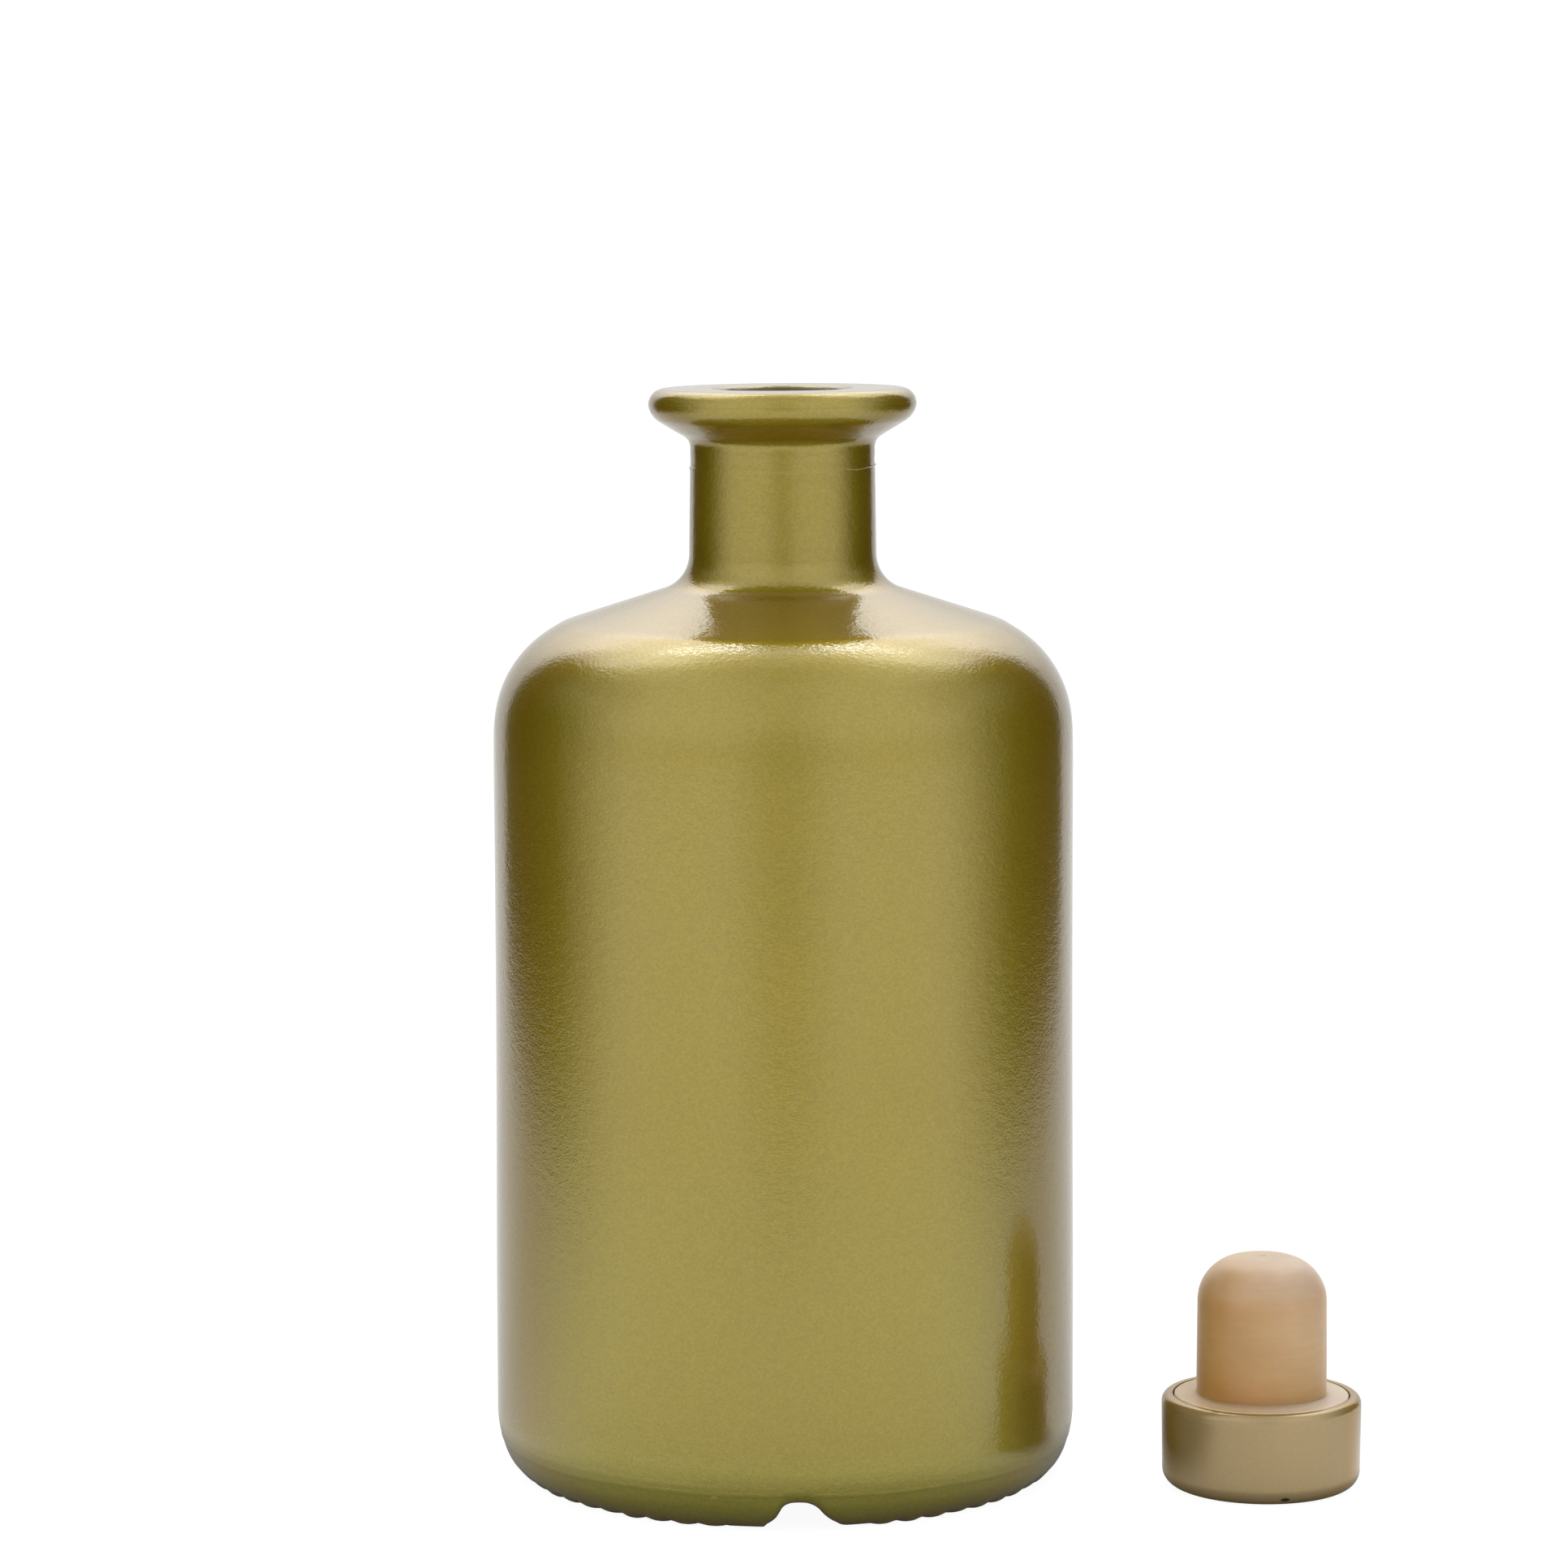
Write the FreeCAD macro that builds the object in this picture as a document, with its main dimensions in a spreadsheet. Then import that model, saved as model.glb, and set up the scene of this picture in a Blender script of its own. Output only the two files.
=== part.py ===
import FreeCAD, Part
import math
import os
import Sketcher

V = FreeCAD.Vector

# Apothecary bottle: a broad-shouldered round glass bottle, standing open and
# empty, with its push-in bar-top stopper standing upside down beside it.
#   bottle        one piece of moulded glass: rolled flat lip, short neck,
#                 sloping shoulder, body with a very shallow waist, rounded
#                 heel, scalloped bearing ring, orientation notch, push-up
#   stopper_cap   moulded cap, closed end down, with a shallow recess
#   stopper_cork  synthetic cork: shank with a domed end and a round flange
#                 bonded in the cap's recess
# Frame: +Z up, origin on the bottle's axis at the plane it stands on, the
# front (the side with the notch) towards -Y. Millimetres.

doc = FreeCAD.newDocument("ApothecaryBottle")

sizes = doc.addObject("Spreadsheet::Sheet", "Sizes")
SIZES = [
    # overall
    ("total_height", 158.0, "bearing plane to top of lip"),
    ("notch_turn", 3.15, "degrees the notch stands off the front, about Z"),
    # lip
    ("bore_r", 9.25, "radius of the bore, for a 19 mm cork"),
    ("entry_r", 1.4, "rounding at the mouth"),
    ("lip_flat_r", 17.05, "outer radius of the flat top"),
    ("lip_r", 19.35, "greatest radius of the lip"),
    ("lip_upper_round", 2.3, "upper rounding of the lip"),
    ("lip_lower_z", 155.6, "where the lower rounding starts"),
    ("lip_lower_round", 3.3, "lower rounding of the lip"),
    ("lip_cone_r", 17.854, "outer end of the cone under the lip"),
    ("lip_cone_z", 153.3, "height of that end"),
    ("flare_r", 14.276, "inner end of the cone under the lip"),
    ("flare_z", 151.152, "height of that end"),
    ("flare_round", 2.0, "fillet from the cone to the neck"),
    # neck
    ("neck_top_r", 13.3, "neck radius at the top"),
    ("neck_top_z", 149.434, "top of the plain neck"),
    ("neck_low_r", 13.52, "neck radius at the bottom"),
    ("neck_low_z", 134.15, "bottom of the plain neck"),
    ("neck_round", 5.4, "fillet from the neck to the shoulder"),
    # shoulder
    ("slope_in_r", 17.278, "inner end of the sloping shoulder"),
    ("slope_in_z", 129.0, "height of that end"),
    ("slope_out_r", 30.47, "outer end of the sloping shoulder"),
    ("slope_out_z", 124.72, "height of that end"),
    ("shoulder_round", 16.5, "rounding from the slope to the body"),
    # body and heel
    ("body_top_r", 41.97, "body radius under the shoulder"),
    ("body_top_z", 109.0, "top of the body"),
    ("body_low_r", 42.25, "body radius above the heel"),
    ("body_low_z", 9.5, "bottom of the body"),
    ("waist_r", 41.98, "body radius at the very shallow waist"),
    ("waist_high_z", 92.0, "upper end of the waist"),
    ("waist_low_z", 52.0, "lower end of the waist"),
    ("heel_mid_r", 41.0, "between the two arcs of the heel"),
    ("heel_mid_z", 3.2, "height of that point"),
    ("heel_upper_arc", 16.5, "upper arc of the heel"),
    ("heel_lower_arc", 5.18, "lower arc of the heel"),
    # base
    ("bearing_out_r", 36.2, "outer radius of the bearing ring"),
    ("bearing_in_r", 33.4, "inner radius of the bearing ring"),
    ("pushup_edge_r", 30.8, "outer radius of the push-up"),
    ("pushup_edge_z", 2.5, "height at its edge"),
    ("pushup_z", 4.0, "height at its centre"),
    ("pushup_flat_r", 11.0, "radius of its flat middle"),
    # inside
    ("floor_z", 9.0, "inside floor at the axis"),
    ("floor_edge_r", 31.6, "where the inside heel starts"),
    ("floor_edge_z", 8.2, "height there"),
    ("floor_flat_r", 13.0, "radius of its flat middle"),
    ("inner_heel_arc", 7.1, "inside heel rounding"),
    ("inner_r", 38.7, "inside radius of the body"),
    ("inner_low_z", 15.3, "bottom of the straight inside wall"),
    ("inner_top_z", 109.0, "top of the straight inside wall"),
    ("inner_shoulder_arc", 13.25, "inside shoulder rounding"),
    ("inner_slope_out_r", 29.48, "outer end of the inside slope"),
    ("inner_slope_out_z", 121.62, "height of that end"),
    ("inner_slope_in_r", 16.0, "inner end of the inside slope"),
    ("inner_slope_in_z", 125.0, "height of that end"),
    ("inner_neck_arc", 9.67, "inside fillet from the slope to the bore"),
    ("bore_low_z", 134.15, "bottom of the straight bore"),
    # bearing ring scallops and orientation notch
    ("scallop_count", 52, "scallops round the ring, none beside the notch"),
    ("scallop_first", 20.95, "degrees from the notch to the first scallop"),
    ("scallop_span", 317.1, "degrees from the first scallop to the last"),
    ("scallop_half", 1.35, "half width of a scallop at the bearing plane"),
    ("scallop_depth", 0.45, "depth of a scallop"),
    ("scallop_in_r", 34.9, "where a scallop starts"),
    ("scallop_long", 6.0, "length of the cut along the radius"),
    ("notch_top_z", 4.35, "height of the notch"),
    ("notch_top_half", 1.7, "half width at its top"),
    ("notch_low_half", 4.6, "half width at the bearing plane"),
    ("notch_in_r", 28.6, "where the notch starts, under the push-up"),
    ("notch_long", 16.0, "length of the cut along the radius"),
    ("notch_round", 1.3, "rounding of the notch's upper corners"),
    # stopper
    ("stopper_x", 68.8, "stopper axis"),
    ("stopper_y", -13.2, "stopper axis"),
    ("cap_end_r", 11.85, "radius of the cap's flat end"),
    ("cap_edge_round", 2.4, "rounding of the closed end"),
    ("cap_low_r", 14.25, "cap radius above that rounding"),
    ("cap_high_r", 14.4, "cap radius under the rim"),
    ("cap_rim_low_z", 12.15, "bottom of the rim's rounding"),
    ("cap_rim_round", 1.2, "rounding of the rim"),
    ("cap_rim_r", 13.2, "outer radius of the rim's flat"),
    ("cap_height", 13.35, "height of the cap"),
    ("recess_r", 12.75, "radius of the recess"),
    ("recess_z", 10.85, "floor of the recess"),
    ("flange_r", 12.55, "radius of the cork's flange"),
    ("flange_edge", 0.2, "rounding of the flange's edge"),
    ("flange_top_z", 13.3, "top of the flange"),
    ("shank_round", 1.0, "fillet from flange to shank"),
    ("shank_low_r", 9.42, "shank radius at the flange"),
    ("shank_high_r", 9.3, "shank radius under the dome"),
    ("shank_high_z", 27.0, "top of the straight shank"),
    ("dome_round", 6.5, "rounding of the shank's end"),
    ("dome_flat_r", 2.8, "radius of the flat on the end"),
    ("cork_height", 33.5, "top of the cork"),
    ("gate_r", 0.7, "radius of the moulding gate's dimple"),
    ("gate_depth", 0.18, "depth of that dimple"),
]
VALUE = {}
for row, (alias, value, note) in enumerate(SIZES, start=1):
    sizes.set("A%d" % row, note)
    sizes.set("B%d" % row, str(value))
    sizes.setAlias("B%d" % row, alias)
    VALUE[alias] = float(value)
doc.recompute()


def number(term):
    """The value of a coordinate: a number, an alias, or a sum of aliases."""
    if isinstance(term, (int, float)):
        return float(term)
    total, sign = 0.0, 1.0
    for word in term.split():
        if word == "+":
            sign = 1.0
        elif word == "-":
            sign = -1.0
        else:
            total += sign * VALUE[word]
    return total


def formula(term):
    return " ".join(
        w if w in "+-" else "Sizes." + w for w in term.split()
    )


def plane(body, role):
    for feature in body.Origin.OriginFeatures:
        if feature.Role == role:
            return feature
    raise RuntimeError(role)


def new_sketch(body, name, role):
    sketch = body.newObject("Sketcher::SketchObject", name)
    sketch.AttachmentSupport = [(plane(body, role), "")]
    sketch.MapMode = "FlatFace"
    return sketch


def arc_between(a, b, radius, bulge):
    """Circle arc from a to b in the sketch plane, the short way round.
    bulge +1 puts the centre on the left of a->b, -1 on the right."""
    mid = (a + b) * 0.5
    d = b - a
    half = d.Length / 2.0
    height = math.sqrt(max(radius * radius - half * half, 0.0))
    left = V(-d.y, d.x, 0)
    left.normalize()
    centre = mid + left * (height * bulge)
    circle = Part.Circle(centre, V(0, 0, 1), radius)
    t0 = math.atan2(a.y - centre.y, a.x - centre.x)
    t1 = math.atan2(b.y - centre.y, b.x - centre.x)
    if bulge > 0:
        # centre on the left: the arc runs counter-clockwise from a to b
        while t1 < t0:
            t1 += 2 * math.pi
        return Part.ArcOfCircle(circle, t0, t1), 1, 2
    while t0 < t1:
        t0 += 2 * math.pi
    return Part.ArcOfCircle(circle, t1, t0), 2, 1


def closed_profile(sketch, points, arcs):
    """Closed outline through points (x term, y term); arcs maps the index of
    a segment to (radius alias, bulge). Every corner and radius is bound to
    the sheet."""
    n = len(points)
    pos = [V(number(px), number(py), 0) for px, py in points]
    ends = []
    for i in range(n):
        a, b = pos[i], pos[(i + 1) % n]
        if i in arcs:
            alias, bulge = arcs[i]
            geometry, first, last = arc_between(a, b, VALUE[alias], bulge)
        else:
            geometry, first, last = Part.LineSegment(a, b), 1, 2
        index = sketch.addGeometry(geometry, False)
        ends.append((index, first, last))
    for i in range(n):
        g, _, last = ends[i]
        g2, first, _ = ends[(i + 1) % n]
        sketch.addConstraint(Sketcher.Constraint("Coincident", g, last, g2, first))
    for i in range(n):
        g, first, _ = ends[i]
        for axis, term, kind in (
            (-2, points[i][0], "DistanceX"),
            (-1, points[i][1], "DistanceY"),
        ):
            if isinstance(term, (int, float)) and term == 0:
                sketch.addConstraint(
                    Sketcher.Constraint("PointOnObject", g, first, axis)
                )
                continue
            k = sketch.addConstraint(
                Sketcher.Constraint(kind, -1, 1, g, first, number(term))
            )
            label = "p%d%s" % (i, "x" if kind == "DistanceX" else "y")
            sketch.renameConstraint(k, label)
            sketch.setExpression("Constraints." + label, formula(term))
    for i, (alias, _) in arcs.items():
        k = sketch.addConstraint(
            Sketcher.Constraint("Radius", ends[i][0], VALUE[alias])
        )
        label = "arc%d" % i
        sketch.renameConstraint(k, label)
        sketch.setExpression("Constraints." + label, "Sizes." + alias)


def revolve(body, name, sketch):
    feature = body.newObject("PartDesign::Revolution", name)
    feature.Profile = sketch
    feature.ReferenceAxis = (sketch, ["V_Axis"])
    feature.Angle = 360.0
    sketch.Visibility = False
    return feature


# ---------------------------------------------------------------- bottle
bottle = doc.addObject("PartDesign::Body", "Bottle")
bottle.Label = "bottle"

glass = new_sketch(bottle, "GlassSection", "XZ_Plane")
closed_profile(
    glass,
    [
        (0, "pushup_z"),                                    # 0
        ("pushup_flat_r", "pushup_z"),                      # 1
        ("pushup_edge_r", "pushup_edge_z"),                 # 2
        ("bearing_in_r", 0),                                # 3
        ("bearing_out_r", 0),                               # 4
        ("heel_mid_r", "heel_mid_z"),                       # 5
        ("body_low_r", "body_low_z"),                       # 6
        ("waist_r", "waist_low_z"),                         # 7
        ("waist_r", "waist_high_z"),                        # 8
        ("body_top_r", "body_top_z"),                       # 9
        ("slope_out_r", "slope_out_z"),                     # 10
        ("slope_in_r", "slope_in_z"),                       # 11
        ("neck_low_r", "neck_low_z"),                       # 12
        ("neck_top_r", "neck_top_z"),                       # 13
        ("flare_r", "flare_z"),                             # 14
        ("lip_cone_r", "lip_cone_z"),                       # 15
        ("lip_r", "lip_lower_z"),                           # 16
        ("lip_r", "total_height - lip_upper_round"),        # 17
        ("lip_flat_r", "total_height"),                     # 18
        ("bore_r + entry_r", "total_height"),               # 19
        ("bore_r", "total_height - entry_r"),               # 20
        ("bore_r", "bore_low_z"),                           # 21
        ("inner_slope_in_r", "inner_slope_in_z"),           # 22
        ("inner_slope_out_r", "inner_slope_out_z"),         # 23
        ("inner_r", "inner_top_z"),                         # 24
        ("inner_r", "inner_low_z"),                         # 25
        ("floor_edge_r", "floor_edge_z"),                   # 26
        ("floor_flat_r", "floor_z"),                        # 27
        (0, "floor_z"),                                     # 28
    ],
    {
        4: ("heel_lower_arc", 1),
        5: ("heel_upper_arc", 1),
        9: ("shoulder_round", 1),
        11: ("neck_round", -1),
        13: ("flare_round", -1),
        15: ("lip_lower_round", 1),
        17: ("lip_upper_round", 1),
        19: ("entry_r", 1),
        21: ("inner_neck_arc", 1),
        23: ("inner_shoulder_arc", -1),
        25: ("inner_heel_arc", -1),
    },
)
blown = revolve(bottle, "Moulded", glass)
doc.recompute()
volume_plain = bottle.Shape.Volume

# Orientation notch: a low arch through the bearing ring and the heel.
arch = new_sketch(bottle, "NotchSection", "XZ_Plane")
arch.AttachmentOffset = FreeCAD.Placement(
    V(0, 0, VALUE["notch_in_r"]), FreeCAD.Rotation()
)
arch.setExpression("AttachmentOffset.Base.z", "Sizes.notch_in_r")
half_low, half_top, top_z = (
    VALUE["notch_low_half"],
    VALUE["notch_top_half"],
    VALUE["notch_top_z"],
)
corners = [
    V(-half_low, -1.0, 0),
    V(half_low, -1.0, 0),
    V(half_low, 0, 0),
    V(half_top, top_z, 0),
    V(-half_top, top_z, 0),
    V(-half_low, 0, 0),
]
lines = []
for i in range(6):
    lines.append(
        arch.addGeometry(Part.LineSegment(corners[i], corners[(i + 1) % 6]), False)
    )
for i in range(6):
    arch.addConstraint(
        Sketcher.Constraint("Coincident", lines[i], 2, lines[(i + 1) % 6], 1)
    )
arch.addConstraint(Sketcher.Constraint("Horizontal", lines[0]))
arch.addConstraint(Sketcher.Constraint("Vertical", lines[1]))
arch.addConstraint(Sketcher.Constraint("Vertical", lines[5]))
arch.addConstraint(Sketcher.Constraint("PointOnObject", lines[2], 1, -1))
arch.addConstraint(Sketcher.Constraint("Symmetric", lines[3], 1, lines[3], 2, -2))
arch.addConstraint(Sketcher.Constraint("Symmetric", lines[2], 1, lines[4], 2, -2))
for label, args, alias in (
    ("top", ("DistanceY", -1, 1, lines[3], 1, top_z), "notch_top_z"),
    ("tophalf", ("DistanceX", -1, 1, lines[3], 1, half_top), "notch_top_half"),
    ("lowhalf", ("DistanceX", -1, 1, lines[2], 1, half_low), "notch_low_half"),
):
    k = arch.addConstraint(Sketcher.Constraint(*args))
    arch.renameConstraint(k, label)
    arch.setExpression("Constraints." + label, "Sizes." + alias)
k = arch.addConstraint(Sketcher.Constraint("DistanceY", lines[0], 1, -1, 1, 1.0))
arch.renameConstraint(k, "below")

notch = bottle.newObject("PartDesign::Pocket", "Notch")
notch.Profile = arch
notch.Type = 0
notch.setExpression("Length", "Sizes.notch_long")
notch.Reversed = True
arch.Visibility = False
doc.recompute()
volume_notched = bottle.Shape.Volume
print("plain", round(volume_plain, 1), "notched", round(volume_notched, 1))
if not volume_notched < volume_plain - 20.0:
    raise RuntimeError("the notch cut nothing")

# Round the notch's two upper corners, which run along the radius.
corner_names = []
for i, edge in enumerate(notch.Shape.Edges, start=1):
    a, b = edge.Vertexes[0].Point, edge.Vertexes[-1].Point
    along_y = abs(a.x - b.x) < 1e-4 and abs(a.z - b.z) < 1e-4 and abs(a.y - b.y) > 3
    if along_y and abs(a.z - top_z) < 0.01 and a.y < 0:
        corner_names.append("Edge%d" % i)
if corner_names:
    eased = bottle.newObject("PartDesign::Fillet", "NotchEased")
    eased.Base = (notch, corner_names)
    eased.setExpression("Radius", "Sizes.notch_round")
    doc.recompute()

# Scallops across the outer part of the bearing ring.
scoop = new_sketch(bottle, "ScallopSection", "XZ_Plane")
turn = FreeCAD.Rotation(V(0, 1, 0), VALUE["scallop_first"])
scoop.AttachmentOffset = FreeCAD.Placement(
    turn.multVec(V(0, 0, VALUE["scallop_in_r"])), turn
)
w, deep = VALUE["scallop_half"], VALUE["scallop_depth"]
round_r = (w * w + deep * deep) / (2 * deep)
centre = V(0, deep - round_r, 0)
t0 = math.atan2(0 - centre.y, w)
bow = scoop.addGeometry(
    Part.ArcOfCircle(Part.Circle(centre, V(0, 0, 1), round_r), t0, math.pi - t0), False
)
l1 = scoop.addGeometry(Part.LineSegment(V(-w, 0, 0), V(-w, -1, 0)), False)
l2 = scoop.addGeometry(Part.LineSegment(V(-w, -1, 0), V(w, -1, 0)), False)
l3 = scoop.addGeometry(Part.LineSegment(V(w, -1, 0), V(w, 0, 0)), False)
for c in (
    ("Coincident", bow, 2, l1, 1),
    ("Coincident", l1, 2, l2, 1),
    ("Coincident", l2, 2, l3, 1),
    ("Coincident", l3, 2, bow, 1),
    ("Vertical", l1),
    ("Horizontal", l2),
    ("Vertical", l3),
    ("PointOnObject", bow, 1, -1),
    ("PointOnObject", bow, 3, -2),
):
    scoop.addConstraint(Sketcher.Constraint(*c))
k = scoop.addConstraint(Sketcher.Constraint("DistanceX", -1, 1, bow, 1, w))
scoop.renameConstraint(k, "half")
scoop.setExpression("Constraints.half", "Sizes.scallop_half")
k = scoop.addConstraint(Sketcher.Constraint("Radius", bow, round_r))
scoop.renameConstraint(k, "bow")
scoop.setExpression(
    "Constraints.bow",
    "(Sizes.scallop_half * Sizes.scallop_half + Sizes.scallop_depth * Sizes.scallop_depth)"
    " / (2 * Sizes.scallop_depth)",
)
k = scoop.addConstraint(Sketcher.Constraint("DistanceY", l2, 1, -1, 1, 1.0))

before = bottle.Shape.Volume
scallop = bottle.newObject("PartDesign::Pocket", "Scallop")
scallop.Profile = scoop
scallop.Type = 0
scallop.setExpression("Length", "Sizes.scallop_long")
scallop.Reversed = True
scoop.Visibility = False
doc.recompute()
if not bottle.Shape.Volume < before - 0.5:
    raise RuntimeError("the scallop cut nothing")
one = before - bottle.Shape.Volume

ring = bottle.newObject("PartDesign::PolarPattern", "Scallops")
ring.Originals = [scallop]
ring.Axis = (plane(bottle, "Z_Axis"), [""])
ring.setExpression("Occurrences", "Sizes.scallop_count")
ring.setExpression("Angle", "Sizes.scallop_span")
bottle.Tip = ring
doc.recompute()
cut = before - bottle.Shape.Volume
print("scallop volume", round(one, 3), "all", round(cut, 3))
if not cut > 0.9 * VALUE["scallop_count"] * one:
    raise RuntimeError("the scallops were not repeated")

bottle.Placement = FreeCAD.Placement(
    V(0, 0, 0), FreeCAD.Rotation(V(0, 0, 1), VALUE["notch_turn"])
)

# ----------------------------------------------------------- stopper cap
cap = doc.addObject("PartDesign::Body", "StopperCap")
cap.Label = "stopper_cap"
cap_sketch = new_sketch(cap, "CapSection", "XZ_Plane")
closed_profile(
    cap_sketch,
    [
        (0, 0),                                         # 0
        ("cap_end_r", 0),                               # 1
        ("cap_low_r", "cap_edge_round"),                # 2
        ("cap_high_r", "cap_rim_low_z"),                # 3
        ("cap_rim_r", "cap_height"),                    # 4
        ("recess_r", "cap_height"),                     # 5
        ("recess_r", "recess_z"),                       # 6
        (0, "recess_z"),                                # 7
    ],
    {1: ("cap_edge_round", 1), 3: ("cap_rim_round", 1)},
)
revolve(cap, "CapBody", cap_sketch)
cap.setExpression("Placement.Base.x", "Sizes.stopper_x")
cap.setExpression("Placement.Base.y", "Sizes.stopper_y")

# ---------------------------------------------------------- stopper cork
cork = doc.addObject("PartDesign::Body", "StopperCork")
cork.Label = "stopper_cork"
cork_sketch = new_sketch(cork, "CorkSection", "XZ_Plane")
closed_profile(
    cork_sketch,
    [
        (0, "recess_z"),                                          # 0
        ("flange_r", "recess_z"),                                 # 1
        ("flange_r", "flange_top_z - flange_edge"),               # 2
        ("flange_r - flange_edge", "flange_top_z"),               # 3
        ("shank_low_r + shank_round", "flange_top_z"),            # 4
        ("shank_low_r", "flange_top_z + shank_round"),            # 5
        ("shank_high_r", "shank_high_z"),                         # 6
        ("dome_flat_r", "cork_height"),                           # 7
        ("gate_r", "cork_height"),                                # 8
        ("gate_r", "cork_height - gate_depth"),                   # 9
        (0, "cork_height - gate_depth"),                          # 10
    ],
    {2: ("flange_edge", 1), 4: ("shank_round", -1), 6: ("dome_round", 1)},
)
revolve(cork, "CorkBody", cork_sketch)
cork.setExpression("Placement.Base.x", "Sizes.stopper_x")
cork.setExpression("Placement.Base.y", "Sizes.stopper_y")

doc.recompute()

# ------------------------------------------------------------ check, write
for obj in doc.Objects:
    bad = [s for s in obj.State if s in ("Invalid", "Error")]
    if bad:
        raise RuntimeError("%s: %s" % (obj.Name, obj.State))

os.makedirs("parts", exist_ok=True)
for body in (bottle, cap, cork):
    shape = body.Shape
    if shape.isNull() or not shape.isValid() or len(shape.Solids) != 1:
        raise RuntimeError("%s has no sound shape" % body.Label)
    box = shape.optimalBoundingBox(True, False)
    print(
        "%-13s volume %9.1f mm3  faces %3d  x %.2f..%.2f  y %.2f..%.2f  z %.2f..%.2f"
        % (body.Label, shape.Volume, len(shape.Faces), box.XMin, box.XMax,
           box.YMin, box.YMax, box.ZMin, box.ZMax)
    )
    shape.exportStep("parts/%s.step" % body.Label)
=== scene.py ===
import math

import bmesh
import bpy
import numpy as np
from mathutils import Matrix, Vector, noise


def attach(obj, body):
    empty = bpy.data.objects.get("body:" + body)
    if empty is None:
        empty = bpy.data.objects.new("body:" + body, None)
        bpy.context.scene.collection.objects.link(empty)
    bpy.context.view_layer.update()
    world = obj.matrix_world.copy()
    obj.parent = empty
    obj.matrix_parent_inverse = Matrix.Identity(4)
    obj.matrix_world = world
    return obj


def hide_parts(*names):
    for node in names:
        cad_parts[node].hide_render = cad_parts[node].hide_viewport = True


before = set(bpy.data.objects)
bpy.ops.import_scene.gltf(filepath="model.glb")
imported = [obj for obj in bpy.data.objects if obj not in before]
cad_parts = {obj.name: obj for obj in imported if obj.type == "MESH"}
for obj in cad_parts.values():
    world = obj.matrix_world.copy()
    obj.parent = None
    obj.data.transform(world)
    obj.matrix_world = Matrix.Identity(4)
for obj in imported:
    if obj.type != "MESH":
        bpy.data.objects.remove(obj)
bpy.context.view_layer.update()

MM = 0.001
NOTCH_TURN = 3.15         # degrees the orientation notch stands off the front
scene = bpy.context.scene
scene.view_settings.view_transform = "Standard"


# --------------------------------------------------------------- helpers
def arc(cx, cz, r, a0, a1, n):
    """n points along a circle arc, in degrees, without its first point."""
    return [
        (cx + r * math.cos(math.radians(a0 + (a1 - a0) * i / n)),
         cz + r * math.sin(math.radians(a0 + (a1 - a0) * i / n)))
        for i in range(1, n + 1)
    ]


def line(p, q, n, ease=0.0):
    """n points from p to q, without p; ease packs them towards both ends."""
    out = []
    for i in range(1, n + 1):
        t = i / n
        if ease:
            t = (1 - ease) * t + ease * (0.5 - 0.5 * math.cos(math.pi * t))
        out.append((p[0] + (q[0] - p[0]) * t, p[1] + (q[1] - p[1]) * t))
    return out


def smooth(t):
    t = np.clip(t, 0.0, 1.0)
    return t * t * (3 - 2 * t)


def soften(pts, lo, hi, passes):
    """Ease the corners of a section between two heights, ends kept."""
    pts = list(pts)
    for _ in range(passes):
        new = list(pts)
        for i in range(1, len(pts) - 1):
            if lo < pts[i][1] < hi:
                new[i] = tuple(0.25 * pts[i - 1][k] + 0.5 * pts[i][k] + 0.25 * pts[i + 1][k] for k in (0, 1))
        pts = new
    return pts


def curve_through(knots, x):
    """Monotone cubic through (x, y) knots, flat beyond both ends."""
    kx = np.array([k[0] for k in knots], float)
    ky = np.array([k[1] for k in knots], float)
    d = np.diff(ky) / np.diff(kx)
    m = np.zeros(len(kx))
    m[1:-1] = np.where(d[:-1] * d[1:] > 0, 2 * d[:-1] * d[1:] / (d[:-1] + d[1:] + 1e-12), 0.0)
    x = np.clip(np.asarray(x, float), kx[0], kx[-1])
    i = np.clip(np.searchsorted(kx, x) - 1, 0, len(kx) - 2)
    h = kx[i + 1] - kx[i]
    t = (x - kx[i]) / h
    return ((2 * t**3 - 3 * t**2 + 1) * ky[i] + (t**3 - 2 * t**2 + t) * h * m[i]
            + (-2 * t**3 + 3 * t**2) * ky[i + 1] + (t**3 - t**2) * h * m[i + 1])


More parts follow.
